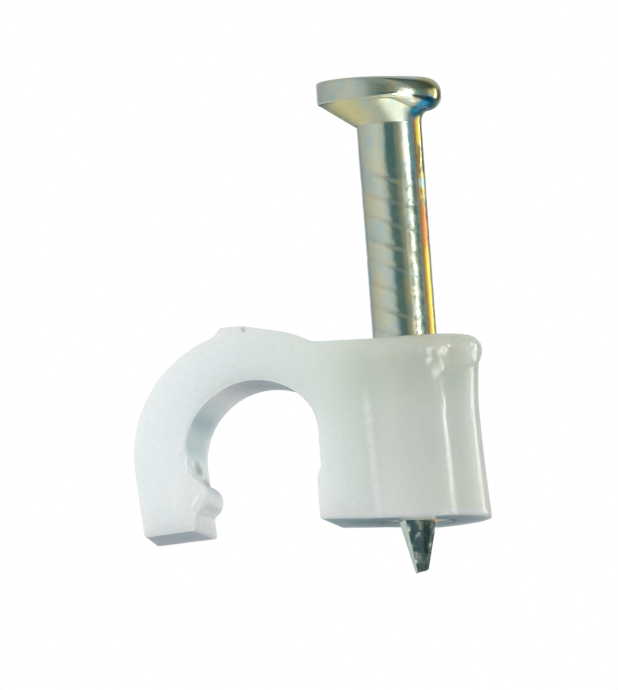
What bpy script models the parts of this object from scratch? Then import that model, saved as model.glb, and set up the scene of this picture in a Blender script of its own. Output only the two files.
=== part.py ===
"""Cable clip: a moulded plastic hook with a nail boss, and the masonry nail that fixes it to a wall.

The wall is the plane Z = 0 and the nail runs along Z through the origin. X goes from the hook
to the boss, Y from the front of the clip to its back, and Z away from the wall.
"""
import math

import bmesh
import bpy
from mathutils import Matrix, Vector

MM = 0.001

# Nail and its four-sided point
NAIL_DIAMETER = 2.07 * MM
NAIL_LENGTH = 16.0 * MM
POINT_BELOW_WALL = 1.56 * MM
POINT_SIDE_AT_WALL = 1.0 * MM
POINT_TAPER = 0.41
POINT_TURN = 20.0
TIP_SLANT = 0.2

# Nail head, struck a little off the shank's axis: crisp on one side, rolled over on the other
HEAD_DIAMETER = 4.06 * MM
HEAD_OFFSET = 0.24 * MM
HEAD_LEAN = 2.3
CONE_HEIGHT = 0.75 * MM
RIM_HEIGHT = 0.74 * MM
CRISP_EDGE = 0.09 * MM
ROLLED_EDGE = 0.46 * MM
ROLLED_DROP = 0.33 * MM
ROLLED_REACH = 107.5

# Hole for the nail
BORE_CLEARANCE = 0.04 * MM

# Seat for the cable: a round arch whose wall towards the nail is straight, with a thicker foot
SEAT_RADIUS = 2.29 * MM
SEAT_LIFT = 0.33 * MM
SEAT_FLAT = 0.20 * MM
SEAT_BLEND = 1.6 * MM
WALL_FROM_BORE = 1.635 * MM
WALL_FOOT = 0.15 * MM
WALL_FOOT_HEIGHT = 1.55 * MM
WALL_FOOT_SLOPE = 0.40 * MM

# Depth of the clip from front to back, which falls off evenly from the nail to the foot
DEPTH_AT_NAIL = 4.24 * MM
DEPTH_TAPER = 0.034

# Hook round the seat, which ends in a foot that is thicker at the back
HOOK_WALL = 1.72 * MM
HOOK_DROP = 0.07 * MM
FOOT_FRONT = 1.70 * MM
FOOT_BACK = 2.06 * MM
FOOT_LEAN = 0.15 * MM
FOOT_OUTER_GAP = 0.15 * MM
FOOT_INNER_GAP = 0.23 * MM
EDGE_ROUNDING = 0.07 * MM

# Gate pad on the crown of the hook, measured from the crown to each side
PAD_RISE = 0.13 * MM
PAD_FOOT_LEFT = 1.11 * MM
PAD_TOP_LEFT = 0.91 * MM
PAD_TOP_RIGHT = 0.18 * MM
PAD_FOOT_RIGHT = 1.22 * MM

# Shoulder where the hook runs into the boss
SHOULDER_DROP = 0.64 * MM
SHOULDER_BLEND = 0.8 * MM
SHOULDER_RISE = 0.05 * MM

# Bead across the inner side of the hook, which keeps the cable in its seat
BEAD_FRONT_RADIUS = 0.60 * MM
BEAD_BACK_RADIUS = 0.52 * MM
BEAD_HEIGHT = 1.40 * MM
BEAD_SUNK = 0.22 * MM
BEAD_SET_BACK = 0.08 * MM
BEAD_ROUNDING = 0.14 * MM

# Boss round the nail
BASE_RADIUS = 2.385 * MM
WAIST_RADIUS = 2.225 * MM
WAIST_HEIGHT = 3.6 * MM
NECK_RADIUS = 2.40 * MM

# Lip round the top of the boss, with a slanting lower edge
LIP_PROUD = 0.06 * MM
LIP_ROUNDING = 0.44 * MM
LIP_DEPTH = 0.83 * MM
LIP_SLANT = 13.0

# Underside of the boss: flat beside the nail, lifting off the wall towards the hook
RELIEF_FROM = 0.3 * MM
RELIEF_SLOPE = 0.076

# How far cutting tools run past what they cut
OVERRUN = 1.0 * MM

# Facets of the round forms, and the angles from which an edge is rounded or stays crisp
HOOK_STEPS = 18
SEAT_STEPS = 30
BLEND_STEPS = 5
BEAD_FACETS = 32
BORE_FACETS = 48
BOSS_FACETS = 72
BOSS_RINGS = 16
LIP_RINGS = 6
HEAD_STEPS = 4
ROUNDED_FROM = 40.0
CRISP_FROM = 35.0

NAIL_RADIUS = NAIL_DIAMETER / 2
NAIL_TOP = NAIL_LENGTH - POINT_BELOW_WALL
BORE_RADIUS = NAIL_RADIUS + BORE_CLEARANCE
WALL_X = -(BORE_RADIUS + WALL_FROM_BORE)
SEAT_CENTRE = Vector((WALL_X + SEAT_FLAT - SEAT_RADIUS, SEAT_RADIUS + SEAT_LIFT))
HOOK_CENTRE = SEAT_CENTRE - Vector((0, HOOK_DROP))
HOOK_RADIUS = SEAT_RADIUS + HOOK_WALL
CROWN = HOOK_CENTRE.y + HOOK_RADIUS
BOSS_HEIGHT = CROWN - SHOULDER_DROP
FOOT_INNER = Vector((SEAT_CENTRE.x - SEAT_RADIUS + FOOT_LEAN, FOOT_INNER_GAP))


def clear_objects():
    for item in list(bpy.data.objects):
        bpy.data.objects.remove(item, do_unlink=True)


def new_collection(name):
    collection = bpy.data.collections.new(name)
    bpy.context.scene.collection.children.link(collection)
    return collection


def new_material(name, colour, roughness, metallic):
    material = bpy.data.materials.new(name)
    material.use_nodes = True
    shader = material.node_tree.nodes["Principled BSDF"]
    shader.inputs["Base Color"].default_value = (*colour, 1)
    shader.inputs["Roughness"].default_value = roughness
    shader.inputs["Metallic"].default_value = metallic
    return material


def add_object(name, bm, collection):
    """Make an object from a bmesh. What lies outside the parts' collection is a hidden tool."""
    mesh = bpy.data.meshes.new(name)
    bm.to_mesh(mesh)
    bm.free()
    item = bpy.data.objects.new(name, mesh)
    collection.objects.link(item)
    if collection is tools:
        item.hide_render = True
        item.display_type = "WIRE"
    return item


def combine(item, operation, tool):
    """Join a tool to a piece, cut it away, or keep only what the two share."""
    boolean = item.modifiers.new(tool.name, "BOOLEAN")
    boolean.operation = operation
    boolean.solver = "EXACT"
    boolean.object = tool


def finish(item, material):
    item.data.materials.append(material)
    item.data.shade_smooth()
    item.data.set_sharp_from_angle(angle=math.radians(CRISP_FROM))


def round_edges(item, width):
    rounding = item.modifiers.new("edges", "BEVEL")
    rounding.width = width
    rounding.segments = 2
    rounding.limit_method = "ANGLE"
    rounding.angle_limit = math.radians(ROUNDED_FROM)


def bearing(vector):
    """Direction of a vector in a plane, in degrees."""
    return math.degrees(math.atan2(vector.y, vector.x))


def arc(centre, radius, start, end, steps):
    """Points along an arc in a plane, with angles in degrees."""
    points = []
    for i in range(steps + 1):
        angle = math.radians(start + (end - start) * i / steps)
        points.append(centre + radius * Vector((math.cos(angle), math.sin(angle))))
    return points


def blend(centre, radius, foot, along, size, inside):
    """Points of an arc that leaves a circle and runs smoothly into a straight line.

    The line goes through its foot, and the arc lies to the left of it, inside or outside the circle.
    """
    along = along.normalized()
    left = Vector((-along.y, along.x))
    reach = radius - size if inside else radius + size
    offset = foot + left * size - centre
    behind = offset.dot(along)
    ahead = math.sqrt(reach ** 2 - offset.length_squared + behind ** 2) - behind
    middle = centre + offset + along * ahead
    start = bearing(middle - centre if inside else centre - middle)
    turn = (bearing(-left) - start + 180) % 360 - 180
    return arc(middle, size, start, start + turn, BLEND_STEPS)


def tangent_angle(centre, radius, point):
    """Where a line up from a point below meets a circle on its left side, as an angle in degrees."""
    away = point - centre
    return bearing(away) % 360 - math.degrees(math.acos(radius / away.length))


def loft(name, rings, collection):
    """Skin a closed body over rings that have equally many points, and cap both ends."""
    bm = bmesh.new()
    loops = [[bm.verts.new(point) for point in ring] for ring in rings]
    bm.faces.new(loops[0])
    bm.faces.new(loops[-1])
    for lower, upper in zip(loops, loops[1:]):
        for i in range(len(lower)):
            bm.faces.new((lower[i - 1], lower[i], upper[i], upper[i - 1]))
    bmesh.ops.recalc_face_normals(bm, faces=bm.faces)
    return add_object(name, bm, collection)


def turned(name, profile, facets, collection):
    """A solid of revolution about Z, from a profile that runs down its outer side."""
    bm = bmesh.new()
    points = [bm.verts.new((radius, 0, height)) for radius, height in profile]
    for upper, lower in zip(points, points[1:]):
        bm.edges.new((upper, lower))
    item = add_object(name, bm, collection)
    screw = item.modifiers.new("turn", "SCREW")
    screw.steps = facets
    screw.render_steps = facets
    screw.use_merge_vertices = True
    screw.merge_threshold = 1e-6
    return item


def clip_outline(foot_thickness):
    """Front view of foot, hook, shoulder and web, clockwise from the outer side of the foot."""
    foot_outer = Vector((FOOT_INNER.x - foot_thickness, FOOT_OUTER_GAP))
    foot_side = tangent_angle(HOOK_CENTRE, HOOK_RADIUS, foot_outer)
    pad_left = math.degrees(math.acos(-PAD_FOOT_LEFT / HOOK_RADIUS))
    pad_right = math.degrees(math.acos(PAD_FOOT_RIGHT / HOOK_RADIUS))
    pad_top = CROWN + PAD_RISE

    shoulder_top = BOSS_HEIGHT + SHOULDER_RISE
    shoulder_reach = math.sqrt(HOOK_RADIUS ** 2 - (shoulder_top - HOOK_CENTRE.y) ** 2)
    shoulder_start = Vector((HOOK_CENTRE.x + shoulder_reach, shoulder_top))
    web_top = Vector((0, BOSS_HEIGHT - SHOULDER_RISE))
    fall = web_top - shoulder_start
    shoulder = blend(HOOK_CENTRE, HOOK_RADIUS, shoulder_start, fall, SHOULDER_BLEND, False)

    wall_foot_top = Vector((WALL_X, WALL_FOOT_HEIGHT + WALL_FOOT_SLOPE))
    size = min(SEAT_BLEND, SEAT_RADIUS - SEAT_FLAT)
    wall_top = blend(SEAT_CENTRE, SEAT_RADIUS, wall_foot_top, Vector((0, 1)), size, True)
    seat_start = bearing(wall_top[0] - SEAT_CENTRE)
    seat_end = tangent_angle(SEAT_CENTRE, SEAT_RADIUS, FOOT_INNER)

    outline = arc(HOOK_CENTRE, HOOK_RADIUS, foot_side, pad_left, HOOK_STEPS)
    outline.append(Vector((HOOK_CENTRE.x - PAD_TOP_LEFT, pad_top)))
    outline.append(Vector((HOOK_CENTRE.x - PAD_TOP_RIGHT, pad_top)))
    outline += arc(HOOK_CENTRE, HOOK_RADIUS, pad_right, bearing(shoulder[0] - HOOK_CENTRE), 2)
    outline += shoulder[1:]
    outline.append(web_top)
    outline.append(Vector((0, -OVERRUN)))
    outline.append(Vector((WALL_X - WALL_FOOT, -OVERRUN)))
    outline.append(Vector((WALL_X - WALL_FOOT, WALL_FOOT_HEIGHT)))
    outline.append(wall_foot_top)
    outline += reversed(wall_top)
    outline += arc(SEAT_CENTRE, SEAT_RADIUS, seat_start, seat_end, SEAT_STEPS)[1:]
    outline.append(FOOT_INNER)
    outline.append(foot_outer)
    return outline


def clip_depth(x):
    return DEPTH_AT_NAIL + DEPTH_TAPER * x


def make_web():
    """Hook, shoulder and web in one, with their edges rounded."""
    front = [(x, -clip_depth(x) / 2, z) for x, z in clip_outline(FOOT_FRONT)]
    back = [(x, clip_depth(x) / 2, z) for x, z in clip_outline(FOOT_BACK)]
    web = loft("clip_body", [front, back], parts)
    round_edges(web, EDGE_ROUNDING)
    return web


def boss_radius(height):
    """Radius of the boss: an S-curve from the base in to the waist, then a flare to the neck."""
    if height < WAIST_HEIGHT:
        swell = (1 + math.cos(math.pi * max(height, 0) / WAIST_HEIGHT)) / 2
        return WAIST_RADIUS + (BASE_RADIUS - WAIST_RADIUS) * swell
    flare = (height - WAIST_HEIGHT) / (BOSS_HEIGHT - LIP_ROUNDING - WAIST_HEIGHT)
    return WAIST_RADIUS + (NECK_RADIUS - WAIST_RADIUS) * flare ** 2


def make_boss():
    top = BOSS_HEIGHT - LIP_ROUNDING
    heights = [top * (1 - i / BOSS_RINGS) for i in range(BOSS_RINGS + 1)]
    profile = [(0, top)]
    profile += [(boss_radius(height), height) for height in heights]
    profile += [(BASE_RADIUS, -OVERRUN), (0, -OVERRUN)]
    return turned("boss", profile, BOSS_FACETS, tools)


def make_lip():
    """The flare again, a little proud of the boss, rounded on top and cut off at a slant below."""
    side_top = BOSS_HEIGHT - LIP_ROUNDING
    fall = WAIST_HEIGHT - side_top
    heights = [side_top + fall * i / LIP_RINGS for i in range(1, LIP_RINGS + 1)]
    corner = Vector((NECK_RADIUS + LIP_PROUD - LIP_ROUNDING, side_top))
    profile = [(0, BOSS_HEIGHT)]
    profile += [tuple(point) for point in arc(corner, LIP_ROUNDING, 90, 0, BLEND_STEPS)]
    profile += [(boss_radius(height) + LIP_PROUD, height) for height in heights]
    profile.append((0, WAIST_HEIGHT))
    lip = turned("lip", profile, BOSS_FACETS, tools)

    size = 4 * NECK_RADIUS
    bm = bmesh.new()
    bmesh.ops.create_cube(bm, size=size)
    place = Matrix.Translation((0, 0, BOSS_HEIGHT - LIP_DEPTH))
    place = place @ Matrix.Rotation(math.radians(LIP_SLANT), 4, "X") @ Matrix.Translation((0, 0, -size / 2))
    bmesh.ops.transform(bm, matrix=place, verts=bm.verts)
    combine(lip, "DIFFERENCE", add_object("lip_trim", bm, tools))
    return lip


def make_bead():
    """A short cone that lies across the inner side of the hook, wider in front."""
    bm = bmesh.new()
    middle = Vector((FOOT_INNER.x - BEAD_SUNK, 0, BEAD_HEIGHT))
    bmesh.ops.create_cone(
        bm,
        cap_ends=True,
        segments=BEAD_FACETS,
        radius1=BEAD_FRONT_RADIUS,
        radius2=BEAD_BACK_RADIUS,
        depth=clip_depth(middle.x) - 2 * BEAD_SET_BACK,
        matrix=Matrix.Translation(middle) @ Matrix.Rotation(math.radians(-90), 4, "X"),
    )
    bead = add_object("bead", bm, tools)
    round_edges(bead, BEAD_ROUNDING)
    return bead


def make_underside():
    """All that lies under the boss: below the wall beside the nail, below a slope nearer the hook."""
    left = WALL_X - WALL_FOOT - OVERRUN
    right = BASE_RADIUS + OVERRUN
    depth = BASE_RADIUS + OVERRUN
    section = [(right, 0), (RELIEF_FROM, 0), (left, RELIEF_SLOPE * (RELIEF_FROM - left))]
    section += [(left, -2 * OVERRUN), (right, -2 * OVERRUN)]
    rings = [[(x, side * depth, z) for x, z in section] for side in (-1, 1)]
    return loft("underside", rings, tools)


def make_bore():
    top = BOSS_HEIGHT + OVERRUN
    bottom = -2 * OVERRUN
    profile = [(0, top), (BORE_RADIUS, top), (BORE_RADIUS, bottom), (0, bottom)]
    return turned("bore", profile, BORE_FACETS, tools)


def head_side(angle):
    """Radius and height of the head's rim at one angle round it, from its lower edge to its top."""
    limit = math.cos(math.radians(ROLLED_REACH))
    share = max((math.cos(angle) - limit) / (1 - limit), 0)
    rolled = share * share * (3 - 2 * share)
    edge = CRISP_EDGE + (ROLLED_EDGE - CRISP_EDGE) * rolled
    low = NAIL_TOP - RIM_HEIGHT - ROLLED_DROP * rolled
    lower_edge = Vector((HEAD_DIAMETER / 2 - edge, low + edge))
    upper_edge = Vector((HEAD_DIAMETER / 2 - edge, NAIL_TOP - edge))
    return arc(lower_edge, edge, -90, 0, HEAD_STEPS) + arc(upper_edge, edge, 0, 90, HEAD_STEPS)


def make_nail():
    """A round blank with its upset head, pinched to a square point."""
    angles = [math.tau * i / BORE_FACETS for i in range(BORE_FACETS)]
    neck = NAIL_TOP - RIM_HEIGHT - CONE_HEIGHT
    rings = []
    for height in (-POINT_BELOW_WALL - OVERRUN, neck):
        rings.append([(NAIL_RADIUS * math.cos(a), NAIL_RADIUS * math.sin(a), height) for a in angles])
    lean = math.tan(math.radians(HEAD_LEAN))
    sides = [head_side(a) for a in angles]
    for level in zip(*sides):
        ring = []
        for a, (radius, height) in zip(angles, level):
            x = radius * math.cos(a)
            ring.append((x - HEAD_OFFSET, radius * math.sin(a), height - lean * x))
        rings.append(ring)
    return loft("nail", rings, parts)


def make_pinch():
    """The square taper that the dies leave, from the slanting tip to well above the head."""
    top = NAIL_TOP + OVERRUN
    length = top + POINT_BELOW_WALL
    tip_side = POINT_SIDE_AT_WALL - POINT_TAPER * POINT_BELOW_WALL
    to_corner = math.sqrt(0.5)
    turn = Matrix.Rotation(math.radians(45 + POINT_TURN), 4, "Z")
    bm = bmesh.new()
    bmesh.ops.create_cone(
        bm,
        cap_ends=True,
        segments=4,
        radius1=tip_side * to_corner,
        radius2=(tip_side + POINT_TAPER * length) * to_corner,
        depth=length,
        matrix=Matrix.Translation((0, 0, top - length / 2)) @ turn,
    )
    for vert in bm.verts:
        if vert.co.z < 0:
            vert.co.z += TIP_SLANT * vert.co.x
    return add_object("pinch", bm, tools)


clear_objects()
parts = new_collection("cable_clip")
tools = new_collection("cable_clip_tools")
plastic = new_material("natural_plastic", (0.80, 0.84, 0.80), 0.35, 0)
steel = new_material("plated_steel", (0.62, 0.60, 0.52), 0.28, 1)

clip_body = make_web()
for tool in (make_boss(), make_lip(), make_bead()):
    combine(clip_body, "UNION", tool)
for tool in (make_underside(), make_bore()):
    combine(clip_body, "DIFFERENCE", tool)
finish(clip_body, plastic)

nail = make_nail()
combine(nail, "INTERSECT", make_pinch())
finish(nail, steel)
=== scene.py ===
"""Looks of the cable clip: a moulded hook with a boss, and the plated nail that holds it to a wall.

Shapes are drawn in millimetres and brought to metres when a piece is finished. The wall is the
plane Z = 0, the nail runs along Z, and the hook lies towards -X.
"""

import math

import bmesh
import bpy
from mathutils import Matrix, Vector, noise


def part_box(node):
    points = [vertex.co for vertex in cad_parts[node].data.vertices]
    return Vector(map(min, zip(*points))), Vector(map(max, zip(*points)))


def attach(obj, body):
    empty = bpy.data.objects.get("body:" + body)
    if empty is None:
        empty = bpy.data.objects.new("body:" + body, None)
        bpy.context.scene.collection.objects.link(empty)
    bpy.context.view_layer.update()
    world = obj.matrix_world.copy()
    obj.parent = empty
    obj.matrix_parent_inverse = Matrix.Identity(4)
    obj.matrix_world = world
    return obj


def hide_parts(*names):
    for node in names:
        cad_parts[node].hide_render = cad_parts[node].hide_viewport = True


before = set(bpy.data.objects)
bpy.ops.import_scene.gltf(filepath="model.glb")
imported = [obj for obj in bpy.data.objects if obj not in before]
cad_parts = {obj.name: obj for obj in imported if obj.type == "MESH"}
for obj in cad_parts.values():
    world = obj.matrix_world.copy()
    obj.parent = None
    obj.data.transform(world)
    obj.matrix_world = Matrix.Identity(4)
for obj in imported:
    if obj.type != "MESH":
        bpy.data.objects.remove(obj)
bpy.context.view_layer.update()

# Clip body: one injection moulding in undyed polyethylene. The hook, the shoulder and the web up to
# the boss share one outline, and the boss, its lip and the bead that keeps the cable in its seat
# stand proud of it. The mould's edges are soft.
MM = 0.001
clip_low, clip_high = [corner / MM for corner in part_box("clip_body")]

# Its outline: hook, gate pad, shoulder, web, seat and foot. PAD_SIDES are the pad's four corners.
HOOK_X = -4.80
HOOK_RADIUS = 4.01
PAD_RISE = 0.13
HOOK_Z = clip_high.z - PAD_RISE - HOOK_RADIUS
PAD_SIDES = (-1.11, -0.91, -0.18, 1.22)
SHOULDER_Z = 5.97
SHOULDER_BLEND = 0.80
WEB_TOP_Z = 5.87
SEAT_X = -4.80
SEAT_Z = 2.62
SEAT_RADIUS = 2.29
WALL_X = -2.71
WALL_BLEND = 1.60
WALL_FOOT = (-2.86, 1.55)
WALL_FOOT_TOP = 1.95
FOOT_INNER = (-6.94, 0.23)
FOOT_OUTER = (-8.64, 0.15)
FOOT_SIDE_X = FOOT_INNER[0] - 0.5
FOOT_DRAFT = FOOT_OUTER[0] - clip_low.x
FOOT_DRAFT_TOP = 2.4
DEPTH_AT_NAIL = 4.24
DEPTH_TAPER = 0.034
EDGE_ROUNDING = 0.07
EDGE_STEPS = 2
EDGE_ANGLE = math.radians(35)
ARC_STEP = math.radians(4)

# Its boss, which is waisted and flares to the lip, with the bore for the nail. The underside lifts
# off the wall towards the hook, from RELIEF_FROM on.
BOSS_TOP = 5.92
BASE_RADIUS = 2.385
BASE_CURVE = 1.45
WAIST_RADIUS = 2.225
WAIST_Z = 3.6
NECK_RADIUS = 2.40
NECK_CURVE = 2
BOSS_ROWS = 24
BOSS_FACETS = 144
LIP_PROUD = clip_high.x - NECK_RADIUS
LIP_ROUNDING = 0.44
LIP_ROWS = 12
LIP_STEP = math.radians(9)
LIP_DEPTH = 0.83
LIP_SLANT = math.radians(13)
LIP_FRONT_FADE = (math.radians(42), math.radians(72))
LIP_BACK_FADE = (math.radians(100), math.radians(130))
LIP_SINK = 0.05
SIDE_TOP = BOSS_TOP - LIP_ROUNDING
BORE_RADIUS = 1.075
BORE_FACETS = 96
RELIEF_FROM = 0.3
RELIEF_SLOPE = 0.076
BELOW = 1.5

# Its bead, which keeps the cable in: domed in front, and only rounded at the back.
BEAD = (-7.16, 1.40)
BEAD_RADII = (0.60, 0.52)
BEAD_LENGTH = 3.84
BEAD_FACETS = 48
BEAD_RIM_ANGLE = math.radians(60)
BEAD_ROUNDING = 0.14
BEAD_DOME = 0.42
BEAD_STEPS = 6

# Its skin: where it is smoothed further, and where it is uneven. A grain is the number of lumps to
# the millimetre along each axis. Dents and ripple give a depth, the level they start from, and a grain.
VOXEL = 0.06
SAME_PLACE = 1e-5
SKIN_PASSES = 3
SEAM_SKIN_X = (-1.5, -0.6)
SEAM_SKIN_Y = 1.9
SEAM_SKIN_Z = 5.6
SEAM_PASSES = 4
BEAD_SKIN_X = (-7.6, -6.2)
BEAD_SKIN_Y = -1.2
BEAD_SKIN_Z = (0.5, 2.2)
BEAD_PASSES = 45
WORN_X = (-7.35, -6.75)
WORN_Y = (0.5, -1.6)
WORN_Z = (1.6, 3.2)
WORN_DEPTH = 0.07
WORN_GRAIN = (3, 3, 3.4)
LIP_DENTS = (0.018, (4.7, 5.1), (4, 4, 4))
BOSS_RIPPLE = (0.004, (2.0, 3.0), (5, 5, 3))


class Pen:
    """Draws an outline in the XZ plane of a bmesh, by extruding or spinning its last vertex."""

    def __init__(self, bm, x, z):
        self.bm = bm
        self.tip = bm.verts.new((x, 0, z))

    def line(self, x, z):
        self.tip = bmesh.ops.extrude_vert_indiv(self.bm, verts=[self.tip])["verts"][0]
        self.tip.co = (x, 0, z)

    def turn(self, x, z, angle, step=ARC_STEP):
        """Swing about a centre. A positive angle is clockwise as seen from the front."""
        spun = bmesh.ops.spin(
            self.bm,
            geom=[self.tip],
            cent=(x, 0, z),
            axis=(0, 1, 0),
            dvec=(0, 0, 0),
            angle=angle,
            steps=max(2, round(abs(angle) / step)),
            use_duplicate=False,
        )
        self.tip = [item for item in spun["geom_last"] if isinstance(item, bmesh.types.BMVert)][0]


def bearing(x, z):
    """Direction of a line in the XZ plane, anticlockwise from +X as seen from the front."""
    return math.atan2(z, x)


def tangent(centre, radius, point):
    """Bearing at which a line up from a point below meets the left side of a circle."""
    away = Vector(point) - Vector(centre)
    return bearing(*away) % math.tau - math.acos(radius / away.length)


def draw_clip(bm):
    """The outline of hook, shoulder and web, clockwise from the outer corner of the foot."""
    side = tangent((HOOK_X, HOOK_Z), HOOK_RADIUS, FOOT_OUTER)
    pad_left, pad_right = (math.acos(PAD_SIDES[i] / HOOK_RADIUS) for i in (0, 3))
    rise = SHOULDER_Z + SHOULDER_BLEND - HOOK_Z
    shoulder = math.asin(rise / (HOOK_RADIUS + SHOULDER_BLEND))
    reach = SEAT_RADIUS - WALL_BLEND
    wall_turn = math.acos((WALL_X - WALL_BLEND - SEAT_X) / reach)

    pen = Pen(bm, *FOOT_OUTER)
    pen.line(HOOK_X + HOOK_RADIUS * math.cos(side), HOOK_Z + HOOK_RADIUS * math.sin(side))
    pen.turn(HOOK_X, HOOK_Z, side - pad_left)
    pen.line(HOOK_X + PAD_SIDES[1], HOOK_Z + HOOK_RADIUS + PAD_RISE)
    pen.line(HOOK_X + PAD_SIDES[2], HOOK_Z + HOOK_RADIUS + PAD_RISE)
    pen.line(HOOK_X + PAD_SIDES[3], HOOK_Z + HOOK_RADIUS * math.sin(pad_right))
    pen.turn(HOOK_X, HOOK_Z, pad_right - shoulder)
    blend_x = HOOK_X + (HOOK_RADIUS + SHOULDER_BLEND) * math.cos(shoulder)
    pen.turn(blend_x, HOOK_Z + rise, shoulder - math.pi / 2)
    pen.line(0, WEB_TOP_Z)
    pen.line(0, -BELOW)
    pen.line(WALL_FOOT[0], -BELOW)
    pen.line(*WALL_FOOT)
    pen.line(WALL_X, WALL_FOOT_TOP)
    blend_z = SEAT_Z + reach * math.sin(wall_turn)
    pen.line(WALL_X, blend_z)
    pen.turn(WALL_X - WALL_BLEND, blend_z, -wall_turn)
    seat_end = tangent((SEAT_X, SEAT_Z), SEAT_RADIUS, FOOT_INNER)
    pen.turn(SEAT_X, SEAT_Z, wall_turn - seat_end)
    pen.line(*FOOT_INNER)
    pen.line(*FOOT_OUTER)


def make_piece(name, bm):
    """An object from a bmesh, whose faces are made to point outwards."""
    bmesh.ops.remove_doubles(bm, verts=bm.verts, dist=SAME_PLACE)
    bmesh.ops.recalc_face_normals(bm, faces=bm.faces)
    mesh = bpy.data.meshes.new(name)
    bm.to_mesh(mesh)
    bm.free()
    item = bpy.data.objects.new(name, mesh)
    bpy.context.scene.collection.objects.link(item)
    return item


def smooth_step(value, low, high):
    """0 at low, 1 at high, smooth between them and level beyond. High may be the lesser."""
    share = min(max((value - low) / (high - low), 0), 1)
    return share * share * (3 - 2 * share)


def thicken(bm, front, back):
    """Fill a closed outline and give it a thickness along Y."""
    bmesh.ops.remove_doubles(bm, verts=bm.verts, dist=SAME_PLACE)
    bmesh.ops.edgeloop_fill(bm, edges=bm.edges)
    far = bmesh.ops.extrude_face_region(bm, geom=bm.faces[:])["geom"]
    far_verts = [item for item in far if isinstance(item, bmesh.types.BMVert)]
    bmesh.ops.translate(bm, verts=bm.verts, vec=(0, front, 0))
    bmesh.ops.translate(bm, verts=far_verts, vec=(0, back - front, 0))


def round_edges(bm, edges, radius, steps):
    bmesh.ops.bevel(
        bm,
        geom=edges,
        offset=radius,
        segments=steps,
        profile=0.5,
        affect="EDGES",
        material=-1,
    )


def cast_web():
    """The outline with its depth, which is a little less at the hook, and the draft of the foot."""
    bm = bmesh.new()
    draw_clip(bm)
    thicken(bm, -0.5, 0.5)
    for vert in bm.verts:
        if vert.co.y > 0 and vert.co.x < FOOT_SIDE_X:
            vert.co.x -= FOOT_DRAFT * smooth_step(vert.co.z, FOOT_DRAFT_TOP, FOOT_OUTER[1])
        vert.co.y *= DEPTH_AT_NAIL + DEPTH_TAPER * vert.co.x
    edges = [edge for edge in bm.edges if edge.calc_face_angle(0) > EDGE_ANGLE]
    round_edges(bm, edges, EDGE_ROUNDING, EDGE_STEPS)
    return make_piece("clip_body_visual", bm)


def boss_radius(z):
    """Radius of the boss: in from the base to the waist, then out to the neck."""
    if z < WAIST_Z:
        fall = 1 - max(z, 0) / WAIST_Z
        return WAIST_RADIUS + (BASE_RADIUS - WAIST_RADIUS) * fall ** BASE_CURVE
    flare = (z - WAIST_Z) / (SIDE_TOP - WAIST_Z)
    return WAIST_RADIUS + (NECK_RADIUS - WAIST_RADIUS) * flare ** NECK_CURVE


def spin_round(bm, steps):
    """Turn what has been drawn once round the nail's axis."""
    bmesh.ops.spin(
        bm,
        geom=bm.verts[:] + bm.edges[:],
        cent=(0, 0, 0),
        axis=(0, 0, 1),
        dvec=(0, 0, 0),
        angle=math.tau,
        steps=steps,
        use_merge=True,
        use_duplicate=False,
    )


def turn_boss():
    bm = bmesh.new()
    pen = Pen(bm, 0, SIDE_TOP)
    for i in range(BOSS_ROWS + 1):
        height = SIDE_TOP * (1 - i / BOSS_ROWS)
        pen.line(boss_radius(height), height)
    pen.line(BASE_RADIUS, -BELOW)
    pen.line(0, -BELOW)
    spin_round(bm, BOSS_FACETS)
    return make_piece("boss", bm)


def turn_lip():
    """The lip, whose lower edge slants, and which runs out into the boss towards the hook."""
    bm = bmesh.new()
    edge_radius = NECK_RADIUS + LIP_PROUD
    pen = Pen(bm, 0, BOSS_TOP)
    pen.line(edge_radius - LIP_ROUNDING, BOSS_TOP)
    pen.turn(edge_radius - LIP_ROUNDING, SIDE_TOP, math.pi / 2, LIP_STEP)
    for i in range(1, LIP_ROWS + 1):
        height = SIDE_TOP + (WAIST_Z - SIDE_TOP) * i / LIP_ROWS
        pen.line(boss_radius(height) + LIP_PROUD, height)
    pen.line(0, WAIST_Z)
    spin_round(bm, BOSS_FACETS)
    normal = Matrix.Rotation(LIP_SLANT, 3, "X") @ Vector((0, 0, -1))
    bmesh.ops.bisect_plane(
        bm,
        geom=bm.verts[:] + bm.edges[:] + bm.faces[:],
        plane_co=(0, 0, BOSS_TOP - LIP_DEPTH),
        plane_no=normal,
        clear_outer=True,
    )
    bmesh.ops.holes_fill(bm, edges=bm.edges)
    for vert in bm.verts:
        across = math.hypot(vert.co.x, vert.co.y)
        angle = math.atan2(vert.co.y, vert.co.x)
        run_out = max(smooth_step(-angle, *LIP_FRONT_FADE), smooth_step(angle, *LIP_BACK_FADE))
        if across > WAIST_RADIUS / 2:
            scale = 1 - (LIP_PROUD + LIP_SINK) * run_out / across
            vert.co.x *= scale
            vert.co.y *= scale
    return make_piece("lip", bm)


def turn_bead():
    bm = bmesh.new()
    bmesh.ops.create_cone(
        bm,
        cap_ends=True,
        segments=BEAD_FACETS,
        radius1=BEAD_RADII[0],
        radius2=BEAD_RADII[1],
        depth=BEAD_LENGTH,
        matrix=Matrix.Translation((BEAD[0], 0, BEAD[1])) @ Matrix.Rotation(-math.pi / 2, 4, "X"),
    )
    near_end = BEAD_LENGTH / 2 - BEAD_ROUNDING / 2
    for side, rounding in ((-1, BEAD_DOME), (1, BEAD_ROUNDING)):
        rim = [
            edge for edge in bm.edges
            if edge.calc_face_angle(0) > BEAD_RIM_ANGLE and edge.verts[0].co.y * side > near_end
        ]
        round_edges(bm, rim, rounding, BEAD_STEPS)
    return make_piece("bead", bm)


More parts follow.
